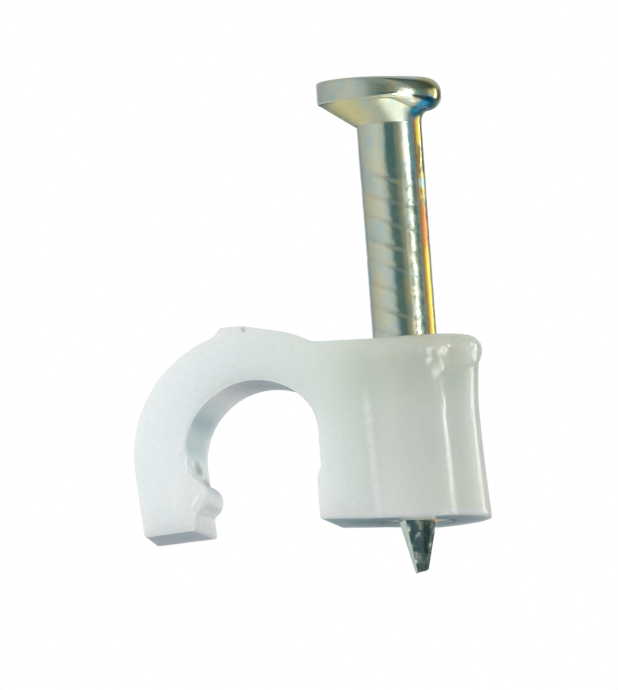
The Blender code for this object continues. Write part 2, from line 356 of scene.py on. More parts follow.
def cut_underside():
    """What lies under the boss: below the wall at the nail, below a slope nearer the hook."""
    bm = bmesh.new()
    left = WALL_FOOT[0] - 1
    right = BASE_RADIUS + 1
    pen = Pen(bm, right, 0)
    pen.line(RELIEF_FROM, 0)
    pen.line(left, RELIEF_SLOPE * (RELIEF_FROM - left))
    pen.line(left, -2 * BELOW)
    pen.line(right, -2 * BELOW)
    pen.line(right, 0)
    thicken(bm, -right, right)
    return make_piece("underside", bm)


def cut_bore():
    bm = bmesh.new()
    bmesh.ops.create_cone(
        bm,
        cap_ends=True,
        segments=BORE_FACETS,
        radius1=BORE_RADIUS,
        radius2=BORE_RADIUS,
        depth=4 * BOSS_TOP,
    )
    return make_piece("bore", bm)


def join_castings(body, added, removed):
    """Fuse what belongs to one moulding, cut what is open, and blend the skin."""
    for operation, tools in (("UNION", added), ("DIFFERENCE", removed)):
        for tool in tools:
            boolean = body.modifiers.new(tool.name, "BOOLEAN")
            boolean.operation = operation
            boolean.solver = "EXACT"
            boolean.object = tool
    skin = body.modifiers.new("skin", "REMESH")
    skin.mode = "VOXEL"
    skin.voxel_size = VOXEL
    mesh = bpy.data.meshes.new_from_object(body.evaluated_get(bpy.context.evaluated_depsgraph_get()))
    body.modifiers.clear()
    body.data = mesh
    for tool in added + removed:
        bpy.data.objects.remove(tool)


def soften(bm, verts, passes):
    """Let points of the skin sink between their neighbours."""
    for _ in range(passes):
        bmesh.ops.smooth_vert(
            bm, verts=verts, factor=0.5, use_axis_x=True, use_axis_y=True, use_axis_z=True
        )


def lumps(point, grain, start=0):
    """Smooth noise round 0. A start shifts the pattern along Z."""
    x, y, z = point
    return noise.noise((x * grain[0], y * grain[1], z * grain[2] + start))


clip = cast_web()
join_castings(clip, [turn_boss(), turn_lip(), turn_bead()], [cut_underside(), cut_bore()])

bm = bmesh.new()
bm.from_mesh(clip.data)
soften(bm, bm.verts, SKIN_PASSES)
seam_skin = [
    vert for vert in bm.verts
    if SEAM_SKIN_X[0] < vert.co.x < SEAM_SKIN_X[1]
    and abs(vert.co.y) > SEAM_SKIN_Y
    and vert.co.z < SEAM_SKIN_Z
]
bead_skin = [
    vert for vert in bm.verts
    if BEAD_SKIN_X[0] < vert.co.x < BEAD_SKIN_X[1]
    and vert.co.y < BEAD_SKIN_Y
    and BEAD_SKIN_Z[0] < vert.co.z < BEAD_SKIN_Z[1]
]
soften(bm, seam_skin, SEAM_PASSES)
soften(bm, bead_skin, BEAD_PASSES)
bm.normal_update()
for vert in bm.verts:
    start = vert.co.copy()
    x, y, z = start
    if WORN_X[0] < x < WORN_X[1] and WORN_Z[0] < z < WORN_Z[1]:
        inside = 4 * (z - WORN_Z[0]) * (WORN_Z[1] - z) / (WORN_Z[1] - WORN_Z[0]) ** 2
        near_front = smooth_step(y, *WORN_Y)
        vert.co += vert.normal * WORN_DEPTH * inside * near_front * lumps(start, WORN_GRAIN)
    for depth, levels, grain in (LIP_DENTS, BOSS_RIPPLE):
        if x > 0 and z > levels[0]:
            vert.co += vert.normal * depth * smooth_step(z, *levels) * lumps(start, grain)
bmesh.ops.scale(bm, vec=(MM, MM, MM), verts=bm.verts)
bm.to_mesh(clip.data)
bm.free()
clip.data.shade_smooth()


class Wire:
    """A socket in a node tree. Arithmetic on it adds Math nodes, and node() adds any other kind."""

    def __init__(self, tree, socket=None):
        self.tree = tree
        self.socket = socket

    def node(self, kind, sockets=(), output=0, stops=None, **settings):
        made = self.tree.nodes.new("ShaderNode" + kind)
        for name, value in settings.items():
            setattr(made, name, value)
        if stops:
            while len(made.color_ramp.elements) < len(stops):
                made.color_ramp.elements.new(1)
            for element, (position, colour) in zip(made.color_ramp.elements, stops):
                element.position = position
                element.color = (*colour, 1)
        for name, value in dict(sockets).items():
            if isinstance(value, Wire):
                self.tree.links.new(value.socket, made.inputs[name])
            else:
                made.inputs[name].default_value = value
        return None if output is None else Wire(self.tree, made.outputs[output])

    def out(self, name):
        """Another output of the same node."""
        return Wire(self.tree, self.socket.node.outputs[name])

    def ramp(self, low, high):
        """0 at low, 1 at high, smooth between them and level beyond. High may be the lesser."""
        low_share, high_share = (0, 1) if low < high else (1, 0)
        sockets = {0: self, 1: min(low, high), 2: max(low, high), 3: low_share, 4: high_share}
        return self.node("MapRange", sockets, interpolation_type="SMOOTHSTEP")

    def mix(self, other, share):
        """This colour turning into another, a socket or (r, g, b, 1), as the share rises."""
        return self.node("Mix", {0: share, 6: self, 7: other}, output=2, data_type="RGBA")

    def greater(self, other):
        return self.node("Math", {0: self, 1: other}, operation="MAXIMUM")

    def place(self):
        """Where a point is in its piece, in millimetres."""
        metres = self.node("TexCoord", output="Object")
        return self.node("VectorMath", {0: metres, "Scale": 1 / MM}, operation="SCALE")

    def axes(self):
        parts = self.node("SeparateXYZ", {0: self})
        return parts.out("X"), parts.out("Y"), parts.out("Z")

    def stretch(self, factors):
        return self.node("VectorMath", {0: self, 1: factors}, operation="MULTIPLY")

    def distance(self, point):
        return self.node("VectorMath", {0: self, 1: point}, output="Value", operation="DISTANCE")

    def clouds(self, scale, detail, roughness=0.5):
        """Noise from 0 to 1 and mostly near 0.5, with about so many clouds to the millimetre."""
        sockets = {"Vector": self, "Scale": scale, "Detail": detail, "Roughness": roughness}
        return self.node("TexNoise", sockets)

    def feed(self, shader, name):
        self.tree.links.new(self.socket, shader.inputs[name])

    def __add__(self, other):
        return self.node("Math", {0: self, 1: other}, operation="ADD")

    def __sub__(self, other):
        return self.node("Math", {0: self, 1: other}, operation="SUBTRACT")

    def __rsub__(self, other):
        return self.node("Math", {0: other, 1: self}, operation="SUBTRACT")

    def __mul__(self, other):
        return self.node("Math", {0: self, 1: other}, operation="MULTIPLY")

    def __truediv__(self, other):
        return self.node("Math", {0: self, 1: other}, operation="DIVIDE")

    __radd__ = __add__
    __rmul__ = __mul__


def band(value, low, full, full_end, high):
    """A share that is 1 from full to full_end, and falls to 0 at low and at high."""
    return value.ramp(low, full) * value.ramp(high, full_end)


def off_axis(first, second):
    """How far a point is from an axis, from its offsets along the other two."""
    return first.node("CombineXYZ", {0: first, 1: second}).distance((0, 0, 0))


# Its plastic: cooler and paler at the hook, where the wall is thin, and warmer and deeper at the boss
# round the nail. This fall from hook to boss is partly the plastic's own tint and partly painted shade,
# for light that falls off away from the hook. Tints are given by where they start and where they are
# whole, in millimetres.
MOTTLE_SCALE = 0.9
MOTTLE_DETAIL = 4.0
GRAIN_SCALE = 6.0
GRAIN_DETAIL = 3.0
HOOK_COLOUR = (0.78, 0.89, 0.905, 1)
BOSS_COLOUR = (0.70, 0.785, 0.685, 1)
HOOK_TO_BOSS = (-6.0, 0.5)
COLOUR_LEVEL = 3
COLOUR_SLANT = 0.45
COLOUR_WANDER = 2.0
# Painted shade of the nail seen through the boss, darker towards its top and towards the nail.
NAIL_SHADE_COLOUR = (0.53, 0.58, 0.48, 1)
NAIL_SHADE_X = (-2.8, 0.2)
NAIL_SHADE_Z = (3.2, 5.9)
FLECK_COLOUR = (0.62, 0.68, 0.66, 1)
FLECK_GRAIN = (0.46, 0.70)
FLECK_SHARE = 0.22
# A painted highlight where the web meets the boss, and painted light on the bead.
SEAM_HIGHLIGHT_COLOUR = (0.97, 1.0, 0.98, 1)
SEAM_X = -0.92
SEAM_LEAN = 0.033
SEAM_WIDTH = 0.20
SEAM_WANDER = 0.15
SEAM_Z = (4.6, 3.4)
SEAM_GRAIN = (0.40, 0.60)
SEAM_SHARES = (0.35, 0.55)
PAINTED_LIGHT_COLOUR = (0.90, 0.97, 0.97, 1)
BEAD_LIGHT_EDGE = (0.85, 0.45)
BEAD_LIGHT_SHARE = 0.8
# The seat's wall, with painted shade on the hook's side and painted light where it looks across at the
# boss. The same painted light lies on the foot's inner side.
SEAT_EDGE = (2.37, 2.31)
SEAT_SHADE = (0.52, 0.59, 0.60, 1)
SEAT_SHADE_X = (-4.8, -5.4)
SEAT_SHADE_Z = (2.4, 3.0, 3.8, 4.7)
SEAT_SHADE_SHARE = 0.9
SIDE_LIGHT_COLOUR = (0.94, 1.0, 0.98, 1)
SIDE_X = (-7.14, -6.98)
SIDE_END_X = (-5.0, -6.0)
SIDE_Z = (2.1, 1.7)
# Painted shade at the bore's mouth, where the nail shows through.
BORE_SHADE = (0.16, 0.20, 0.20, 1)
BORE_EDGE = (1.30, 1.12)
BORE_Z = (1.2, 0.5)
# Painted warm light at the front of the lip, the nail's orange picked up through the plastic, and a
# warm tint down the far side of the boss.
NAIL_LIGHT_COLOUR = (0.60, 0.54, 0.30, 1)
NAIL_LIGHT_PLACE = Vector((0.75, -1.55, 5.70))
NAIL_LIGHT_EDGE = (0.75, 0.2)
NAIL_LIGHT_SHARE = 0.85
WARM_SIDE = (0.74, 0.73, 0.60, 1)
WARM_SIDE_X = (0.9, 1.9)
WARM_SIDE_MOTTLE = (0.35, 0.60)
WARM_SIDE_SHARE = 0.4
# Painted shade on the underside, and a painted highlight along its edge, from the wall's foot to the
# far side of the boss.
BASE_X = (-4.0, -3.5)
BASE_SHADE = (0.42, 0.52, 0.56, 1)
BASE_RISE = (0.06, 0.02)
BASE_SHARE = 0.6
BASE_HIGHLIGHT = (0.05, 0.10, 0.15, 0.24)
BASE_HIGHLIGHT_SHARE = 0.5
# Dark brownish spots, two in the hollow above the bead and one at the front of the top by the gate pad:
# where they are, and how wide. They are longer from front to back.
DARK_SPOT_COLOUR = (0.40, 0.35, 0.27, 1)
DARK_SPOTS = (
    (Vector((-7.08, 0.15, 2.36)), 0.23),
    (Vector((-7.05, 1.35, 2.02)), 0.22),
    (Vector((-4.92, -1.9, 6.56)), 0.10),
)
DARK_SPOT_STRETCH = (1, 0.35, 1)
DARK_SPOT_RAGGED = 2
DARK_SPOT_EDGE = (1.4, 0.4)
DARK_SPOT_SHARE = 0.8
# Its roughness, which is greater low down, its relief, and how far light goes in it.
GLOSS = 0.07
GLOSS_MOTTLE = 0.10
DULL_Z = (2.6, 1.8)
DULL_MORE = 0.06
MOTTLE_RELIEF = 2
SKIN_BUMP = 0.22
SKIN_BUMP_DEPTH = 0.02 * MM
LIGHT_REACH = 4.0 * MM

plastic = bpy.data.materials.new("natural_plastic")
plastic.use_nodes = True
wire = Wire(plastic.node_tree)
place = wire.place()
x, y, z = place.axes()
mottle = place.clouds(MOTTLE_SCALE, MOTTLE_DETAIL)
grain = place.clouds(GRAIN_SCALE, GRAIN_DETAIL)

# Hook to boss: partly tint, partly painted shade that darkens towards the boss.
along = x + z * COLOUR_SLANT - COLOUR_LEVEL * COLOUR_SLANT + (mottle - 0.5) * COLOUR_WANDER
ends = {0: along.ramp(*HOOK_TO_BOSS), 6: HOOK_COLOUR, 7: BOSS_COLOUR}
colour = wire.node("Mix", ends, output=2, data_type="RGBA")
# Painted shade of the nail inside the boss.
colour = colour.mix(NAIL_SHADE_COLOUR, z.ramp(*NAIL_SHADE_Z) * x.ramp(*NAIL_SHADE_X))

# Painted highlight: a broken pale line along the crease where the web meets the boss.
seam_offset = x - SEAM_X + z * SEAM_LEAN + (mottle - 0.5) * SEAM_WANDER
beside = wire.node("Math", {0: seam_offset}, operation="ABSOLUTE")
broken = SEAM_SHARES[0] + grain.ramp(*SEAM_GRAIN) * SEAM_SHARES[1]
colour = colour.mix(SEAM_HIGHLIGHT_COLOUR, beside.ramp(SEAM_WIDTH, 0) * z.ramp(*SEAM_Z) * broken)
# Painted light on the bead.
from_bead = off_axis(x - BEAD[0], z - BEAD[1])
colour = colour.mix(PAINTED_LIGHT_COLOUR, from_bead.ramp(*BEAD_LIGHT_EDGE) * BEAD_LIGHT_SHARE)

# Painted shade on the seat's wall, and painted light at its top and on the foot's inner side.
seat_wall = off_axis(x - SEAT_X, z - SEAT_Z).ramp(*SEAT_EDGE)
shaded = seat_wall * x.ramp(*SEAT_SHADE_X) * band(z, *SEAT_SHADE_Z)
colour = colour.mix(SEAT_SHADE, shaded * SEAT_SHADE_SHARE)
colour = colour.mix(SIDE_LIGHT_COLOUR, seat_wall * z.ramp(SEAT_SHADE_Z[2], SEAT_SHADE_Z[3]))
colour = colour.mix(SIDE_LIGHT_COLOUR, x.ramp(*SIDE_X) * x.ramp(*SIDE_END_X) * z.ramp(*SIDE_Z))
colour = colour.mix(FLECK_COLOUR, grain.ramp(*FLECK_GRAIN) * FLECK_SHARE)

# Painted shade round the bore, low in the boss.
colour = colour.mix(BORE_SHADE, off_axis(x, y).ramp(*BORE_EDGE) * z.ramp(*BORE_Z))
# Painted warm light from the nail at the front of the lip.
colour = colour.mix(NAIL_LIGHT_COLOUR, place.distance(NAIL_LIGHT_PLACE).ramp(*NAIL_LIGHT_EDGE) * NAIL_LIGHT_SHARE)
warm_side = x.ramp(*WARM_SIDE_X) * mottle.ramp(*WARM_SIDE_MOTTLE)
colour = colour.mix(WARM_SIDE, warm_side * WARM_SIDE_SHARE)
lift = (RELIEF_FROM - x).greater(0.0) * RELIEF_SLOPE
# Painted shade on the underside, then a painted highlight along its lower edge.
colour = colour.mix(BASE_SHADE, (z - lift).ramp(*BASE_RISE) * x.ramp(*BASE_X) * BASE_SHARE)
colour = colour.mix(PAINTED_LIGHT_COLOUR, band(z - lift, *BASE_HIGHLIGHT) * x.ramp(*BASE_X) * BASE_HIGHLIGHT_SHARE)

for spot, radius in DARK_SPOTS:
    offset = wire.node("VectorMath", {0: place, 1: spot}, operation="SUBTRACT")
    away = offset.stretch(DARK_SPOT_STRETCH).distance((0, 0, 0))
    ragged = away + (grain - 0.5) * radius * DARK_SPOT_RAGGED
    mark = ragged.ramp(radius * DARK_SPOT_EDGE[0], radius * DARK_SPOT_EDGE[1])
    colour = colour.mix(DARK_SPOT_COLOUR, mark * DARK_SPOT_SHARE)

roughness = GLOSS + mottle * GLOSS_MOTTLE + z.ramp(*DULL_Z) * DULL_MORE
height = grain + mottle * MOTTLE_RELIEF
bump = wire.node("Bump", {"Height": height, "Strength": SKIN_BUMP, "Distance": SKIN_BUMP_DEPTH})
shader = plastic.node_tree.nodes["Principled BSDF"]
colour.feed(shader, "Base Color")
roughness.feed(shader, "Roughness")
bump.feed(shader, "Normal")
shader.inputs["IOR"].default_value = 1.5
shader.inputs["Subsurface Weight"].default_value = 1.0
shader.inputs["Subsurface Radius"].default_value = (1, 1, 1)
shader.inputs["Subsurface Scale"].default_value = LIGHT_REACH
clip.data.materials.clear()
clip.data.materials.append(plastic)
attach(clip, "root")
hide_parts("clip_body")

# Nail: a round steel blank with a head struck a little off its axis, crisp on one side and rolled
# over on the other. Its shank was rolled with fine slanting grip marks and its point pinched square.
# It is zinc plated and passivated, which leaves yellow, orange and blue-green tints.
NAIL_RADIUS = 1.035
NAIL_TOP = 14.44
NAIL_FACETS = 128
ROW_HEIGHT = 0.05
SHARP_ANGLE = math.radians(30)
NEARLY = 1e-4
# Its head. The rolls and fades are angles round the nail, away from the side that is rolled over.
HEAD_RADIUS = 2.01
HEAD_OFFSET = 0.26
HEAD_LEAN = Vector((math.tan(math.radians(1.8)), -math.tan(math.radians(1.9))))
RIM_LOW = NAIL_TOP - 0.74
NECK_Z = RIM_LOW - 0.75
TOP_RINGS = 12
RIM_ROWS = 20
CONE_ROWS = 16
CRISP_EDGE = 0.08
ROLLED_EDGE = 0.46
ROLLED_DROP = 0.29
TOP_ROLL = (math.radians(45), math.radians(110))
LOW_ROLL = (math.radians(30), math.radians(100))
DROP_ROLL = (math.radians(35), math.radians(75))
HOLLOW_ROLL = (math.radians(30), math.radians(55))
HOLLOW = 0.45
# Its shank swells a little to the neck, and is longer than the point until it is cut.
SWELL = 0.02
SWELL_Z = (9, 13)
SPARE = 0.5
POINT_Z = -1.56
POINT_SIDE = 1.0
POINT_TAPER = 0.41
POINT_TURN = math.radians(20)
TIP_SLANT = 0.2
# Its grip marks run up as a thread with several starts. Widths are shares of the way between two.
GRIP_STARTS = 3
GRIP_LEAD = 2.2
GRIP_TOP = 11.75
GRIP_FADE = 0.5
GRIP_DEPTH = 0.013
GRIP_SIDE = math.radians(-115)
GRIP_FAINT = 0.3
GRIP_PATCHES = (0.6, 1.2)
GROOVE_WIDTH = 0.12
BURR_BELOW = 0.22
BURR_WIDTH = 0.14
BURR_HEIGHT = 0.35
WANDER = 0.10
WANDER_GRAIN = (1.3, 1.3, 1.7)
UNEVEN = 0.007
UNEVEN_GRAIN = (2.1, 2.1, 1.6)
UNEVEN_START = 7


def draw_nail(bm):
    """Half a section of the nail, with a straight rim, from the top of the head to its other end."""
    pen = Pen(bm, 0, NAIL_TOP)
    for i in range(1, TOP_RINGS + 1):
        pen.line(HEAD_RADIUS * i / TOP_RINGS, NAIL_TOP)
    for i in range(1, RIM_ROWS + 1):
        pen.line(HEAD_RADIUS, NAIL_TOP + (RIM_LOW - NAIL_TOP) * i / RIM_ROWS)
    for i in range(1, CONE_ROWS + 1):
        share = i / CONE_ROWS
        radius = HEAD_RADIUS + (NAIL_RADIUS + SWELL - HEAD_RADIUS) * share
        pen.line(radius, RIM_LOW + (NECK_Z - RIM_LOW) * share)
    end = POINT_Z - SPARE
    rows = round((NECK_Z - end) / ROW_HEIGHT)
    for i in range(1, rows + 1):
        z = NECK_Z + (end - NECK_Z) * i / rows
        pen.line(NAIL_RADIUS + SWELL * smooth_step(z, *SWELL_Z), z)
    pen.line(0, end)


def rim_section(share, top_edge, low_edge, low):
    """Radius and height at a share of the way up the rim, which is rounded below and above."""
    low_arc = low_edge * math.pi / 2
    top_arc = top_edge * math.pi / 2
    straight = NAIL_TOP - low - top_edge - low_edge
    along = share * (low_arc + top_arc + straight)
    if along < low_arc:
        turn = (along / low_arc - 1) * math.pi / 2
        radius = HEAD_RADIUS - low_edge + low_edge * math.cos(turn)
        return radius, low + low_edge + low_edge * math.sin(turn)
    if along < low_arc + straight:
        return HEAD_RADIUS, low + low_edge + along - low_arc
    turn = (along - low_arc - straight) / top_arc * math.pi / 2
    radius = HEAD_RADIUS - top_edge + top_edge * math.cos(turn)
    return radius, NAIL_TOP - top_edge + top_edge * math.sin(turn)


def strike_head(vert):
    """Move a point of the straight head to where the header's blow leaves it."""
    x, y, z = vert.co
    radius = math.hypot(x, y)
    angle = math.atan2(y, x)
    top_edge, low_edge = (
        ROLLED_EDGE + (CRISP_EDGE - ROLLED_EDGE) * smooth_step(abs(angle), *roll)
        for roll in (TOP_ROLL, LOW_ROLL)
    )
    dropped = 1 - smooth_step(abs(angle), *DROP_ROLL)
    low = RIM_LOW - ROLLED_DROP * dropped
    struck = 1
    if z > NAIL_TOP - NEARLY:
        radius *= (HEAD_RADIUS - top_edge) / HEAD_RADIUS
    elif z > RIM_LOW - NEARLY:
        radius, z = rim_section((z - RIM_LOW) / (NAIL_TOP - RIM_LOW), top_edge, low_edge, low)
    else:
        struck = (z - NECK_Z) / (RIM_LOW - NECK_Z)
        hollowed = 1 - smooth_step(abs(angle), *HOLLOW_ROLL)
        end = Vector((HEAD_RADIUS - low_edge, low))
        start = Vector((NAIL_RADIUS + SWELL, NECK_Z))
        corner = Vector((start.x, low))
        hollow = start.lerp(corner, struck).lerp(corner.lerp(end, struck), struck)
        radius, z = start.lerp(end, struck).lerp(hollow, HOLLOW * hollowed)
    x, y = radius * math.cos(angle), radius * math.sin(angle)
    vert.co = (x - HEAD_OFFSET * struck, y, z - HEAD_LEAN.dot((x, y)) * struck)


def roll_grip(vert, layer):
    """Press the slanting grip marks into the shank, each with a little metal raised below it."""
    x, y, z = vert.co
    angle = math.atan2(y, x)
    wander = lumps(vert.co, WANDER_GRAIN)
    phase = (GRIP_STARTS * (angle / math.tau + z / GRIP_LEAD) + WANDER * wander) % 1 - 0.5
    side = GRIP_FAINT + (1 - GRIP_FAINT) * math.cos(angle - GRIP_SIDE) ** 2
    patches = max(GRIP_PATCHES[0] + GRIP_PATCHES[1] * wander, 0)
    strength = smooth_step(z, GRIP_TOP, GRIP_TOP - GRIP_FADE) * side * patches
    groove = math.exp(-((phase / GROOVE_WIDTH) ** 2)) * strength
    burr = math.exp(-(((phase + BURR_BELOW) / BURR_WIDTH) ** 2)) * strength
    depth = GRIP_DEPTH * (groove - BURR_HEIGHT * burr)
    depth += UNEVEN * lumps(vert.co, UNEVEN_GRAIN, UNEVEN_START)
    vert[layer] = groove
    vert.co.x -= depth * x / NAIL_RADIUS
    vert.co.y -= depth * y / NAIL_RADIUS


def slice_off(bm, point, normal):
    """Cut the piece with a plane, drop what lies beyond it and close the cut."""
    cut = bmesh.ops.bisect_plane(
        bm,
        geom=bm.verts[:] + bm.edges[:] + bm.faces[:],
        plane_co=point,
        plane_no=normal,
        clear_outer=True,
    )
    edges = [item for item in cut["geom_cut"] if isinstance(item, bmesh.types.BMEdge)]
    bmesh.ops.edgeloop_fill(bm, edges=edges)


bm = bmesh.new()
grip = bm.verts.layers.float.new("grip")
draw_nail(bm)
spin_round(bm, NAIL_FACETS)
bmesh.ops.remove_doubles(bm, verts=bm.verts, dist=SAME_PLACE)
for vert in bm.verts:
    if vert.co.z > NECK_Z + NEARLY:
        strike_head(vert)
    else:
        roll_grip(vert, grip)
for i in range(4):
    side = POINT_TURN + i * math.pi / 2
    outward = Vector((math.cos(side), math.sin(side), 0))
    slice_off(bm, outward * POINT_SIDE / 2, outward - Vector((0, 0, POINT_TAPER / 2)))
slice_off(bm, (0, 0, POINT_Z), (TIP_SLANT, 0, -1))
nail = make_piece("nail_visual", bm)
nail.data.transform(Matrix.Scale(MM, 4))
nail.data.shade_smooth()
nail.data.set_sharp_from_angle(angle=SHARP_ANGLE)

# Its plating, with the passivation's tints. Bands of angles run round the shank, from the side that
# faces the camera. Four numbers say where a tint starts, is whole, fades again and ends.
FACING = math.radians(-80.26)
BLUE_GREY = (0.59, 0.69, 0.72)
ZINC = (0.70, 0.72, 0.66)
BEIGE = (0.79, 0.73, 0.59)
ZINC_STOPS = ((0.36, BLUE_GREY), (0.50, ZINC), (0.64, BEIGE))
CLOUD_STRETCH = (1, 1, 0.7)
CLOUD_SCALE = 1.9
CLOUD_DETAIL = 4.0
CLOUD_ROUGHNESS = 0.62
SPECK_SCALE = 5.0
SPECK_DETAIL = 3.0
STREAK_STRETCH = (14, 14, 0.5)
STREAK_DETAIL = 2.0
ABOVE_POINT = (-0.2, 0.2)
RAGGED = 0.12
# A gold line down the right of the shank, dull in patches, with an orange one beside it. Both are
# partly the passivation's tint and partly a painted reflection of a warm light on that side.
DULL_GOLD = (0.17, 0.18, 0.11, 1)
GOLD = (0.90, 0.70, 0.12, 1)
GOLD_BAND = (math.radians(48), math.radians(54), math.radians(66), math.radians(84))
GOLD_CONE_Z = (RIM_LOW - 0.4, RIM_LOW)
GOLD_CONE_LOSS = 0.25
GOLD_CLOUD = (0.42, 0.56)
GOLD_SHARES = (0.15, 0.85)
WHOLE_GOLD_Z = (9.8, 8.9)
DULL_BANDS = ((11.6, 11.8, 12.1, 12.4), (10.1, 10.2, 10.4, 10.5))
DULL_BAND_SHARE = 0.8
ORANGE = (0.80, 0.32, 0.09, 1)
ORANGE_BAND = (math.radians(45), math.radians(49), math.radians(52), math.radians(57))
ORANGE_TOP_Z = (NECK_Z + 0.2, NECK_Z)
ORANGE_SHARES = (0.45, 0.5)
ORANGE_Z = (8.6, 9.1, 10.0, 10.4)
ORANGE_Z_SHARE = 0.9
CYAN = (0.50, 0.80, 0.84, 1)
CYAN_Z = (10.75, 10.85, 11.05, 11.20)
CYAN_SHARE = 0.8
# The head: old gold on the rolled side of the rim, a blue spot in its hollow, and tan on the cone.
OLD_GOLD = (0.45, 0.40, 0.18, 1)
OLD_GOLD_X = (1.10, 1.40)
OLD_GOLD_Z = (RIM_LOW - 0.2, RIM_LOW + 0.1)
OLD_GOLD_SHARE = 0.6
STEEL_BLUE = (0.02, 0.33, 0.60, 1)
BLUE_SPOT = Vector((1.30, -0.74, 13.31))
BLUE_SPOT_EDGE = (0.62, 0.36)
CONE_TAN = (0.74, 0.66, 0.40, 1)
CONE_TAN_X = (-0.2, -0.9)
CONE_TAN_Z = (NECK_Z - 0.05, NECK_Z + 0.1, RIM_LOW - 0.1, RIM_LOW + 0.1)
# Wear: a dull stripe down the rolled part of the shank, tan at the tip and soil in the grip marks.
DULL = (0.26, 0.30, 0.22, 1)
WORN_BAND = (0.28, 0.40, 0.70, 0.82)
WORN_SPECK = (0.42, 0.58)
WORN_SHARES = (0.50, 0.40)
ROLLED_Z = (11.9, 11.0)
TAN = (0.72, 0.60, 0.46, 1)
TIP_Z = (-1.30, -1.48)
TIP_SHARE = 0.8
SOIL = (0.34, 0.28, 0.20, 1)
SOIL_SHARE = 0.16
# Its roughness: bright, but matt on the hook's side of the head and under the rolled rim, in patches on
# the point, down the rolled part of the shank, and at one spot of the rim that spreads a highlight.
POLISH = 0.07
POLISH_CLOUD = 0.10
POLISH_MARKS = 0.08
HEAD_MATT_X = (0.5, -0.3)
HEAD_MATT = 0.20
HEAD_MATT_Z = (NECK_Z - 0.1, NECK_Z + 0.1)
CONE_MATT_X = (1.3, 0.9)
CONE_MATT_Z = (RIM_LOW + 0.05, RIM_LOW - 0.15)
CONE_MATT = 0.28
POINT_MATT_CLOUD = (0.42, 0.66)
POINT_MATT = 0.24
SHANK_MATT_Z = (-0.1, 0.2, ROLLED_Z[1], ROLLED_Z[0])
SHANK_MATT_TURN = (0.2, 0.6)
SHANK_MATT = (0.06, 0.10)
FLARE_SPOT = Vector((0.84, -1.65, 13.70))
FLARE_EDGE = (0.42, 0.12)
FLARE_MATT = 0.22
# Its relief: drawn streaks, specks that are deeper on the point, and clouds.
STREAK_RELIEF = 0.4
SPECK_RELIEF = 1.2
POINT_RELIEF_Z = (0.1, -0.1)
POINT_RELIEF = 0.8
CLOUD_RELIEF = 2.0
METAL_BUMP = 0.35
METAL_BUMP_DEPTH = 0.008 * MM

steel = bpy.data.materials.new("plated_steel")
steel.use_nodes = True
wire = Wire(steel.node_tree)
place = wire.place()
x, y, z = place.axes()
turn = wire.node("Math", {0: y, 1: x}, operation="ARCTAN2") - FACING
marks = wire.node("Attribute", output="Fac", attribute_name="grip")
cloud = place.stretch(CLOUD_STRETCH).clouds(CLOUD_SCALE, CLOUD_DETAIL, CLOUD_ROUGHNESS)
speck = place.clouds(SPECK_SCALE, SPECK_DETAIL)
streaks = place.stretch(STREAK_STRETCH).clouds(1.0, STREAK_DETAIL)
shift = (speck - 0.5) * RAGGED
above = z.ramp(*ABOVE_POINT)

colour = wire.node("ValToRGB", {0: cloud}, stops=ZINC_STOPS)
# Gold and orange lines: partly the passivation's tint, partly a painted reflection of a warm light.
gold = band(turn + shift, *GOLD_BAND) * (1 - z.ramp(*GOLD_CONE_Z) * GOLD_CONE_LOSS) * above
patchy = cloud.ramp(*GOLD_CLOUD).greater(z.ramp(*WHOLE_GOLD_Z))
for levels in DULL_BANDS:
    patchy = patchy * (1 - band(z + shift * 2, *levels) * DULL_BAND_SHARE)
colour = colour.mix(DULL_GOLD, gold * (1 - patchy))
colour = colour.mix(GOLD, gold * (GOLD_SHARES[0] + patchy * GOLD_SHARES[1]))
orange = band(turn + shift, *ORANGE_BAND) * z.ramp(*ORANGE_TOP_Z) * above
colour = colour.mix(ORANGE, orange * (ORANGE_SHARES[0] + cloud * ORANGE_SHARES[1]))
colour = colour.mix(OLD_GOLD, z.ramp(*OLD_GOLD_Z) * x.ramp(*OLD_GOLD_X) * OLD_GOLD_SHARE)
colour = colour.mix(ORANGE, gold * band(z, *ORANGE_Z) * ORANGE_Z_SHARE)
colour = colour.mix(CYAN, gold * band(z + shift * 2, *CYAN_Z) * CYAN_SHARE)
colour = colour.mix(STEEL_BLUE, place.distance(BLUE_SPOT).ramp(*BLUE_SPOT_EDGE))
worn = WORN_SHARES[0] + speck.ramp(*WORN_SPECK) * WORN_SHARES[1]
colour = colour.mix(DULL, band(turn, *WORN_BAND) * z.ramp(*ROLLED_Z) * worn)
colour = colour.mix(CONE_TAN, x.ramp(*CONE_TAN_X) * band(z, *CONE_TAN_Z))
colour = colour.mix(TAN, z.ramp(*TIP_Z) * TIP_SHARE)
colour = colour.mix(SOIL, marks * SOIL_SHARE)

cone = z.ramp(*CONE_MATT_Z) * x.ramp(*CONE_MATT_X)
matt = (x.ramp(*HEAD_MATT_X) * HEAD_MATT).greater(cone * CONE_MATT) * z.ramp(*HEAD_MATT_Z)
matt = matt + (1 - above) * cloud.ramp(*POINT_MATT_CLOUD) * POINT_MATT
rolled = SHANK_MATT[0] + turn.ramp(*SHANK_MATT_TURN) * SHANK_MATT[1]
matt = matt + band(z, *SHANK_MATT_Z) * rolled
matt = matt + place.distance(FLARE_SPOT).ramp(*FLARE_EDGE) * FLARE_MATT
roughness = POLISH + cloud * POLISH_CLOUD + marks * POLISH_MARKS + matt
specks = SPECK_RELIEF + z.ramp(*POINT_RELIEF_Z) * POINT_RELIEF
height = streaks * STREAK_RELIEF + speck * specks + cloud * CLOUD_RELIEF
bump = wire.node("Bump", {"Height": height, "Strength": METAL_BUMP, "Distance": METAL_BUMP_DEPTH})
shader = steel.node_tree.nodes["Principled BSDF"]
colour.feed(shader, "Base Color")
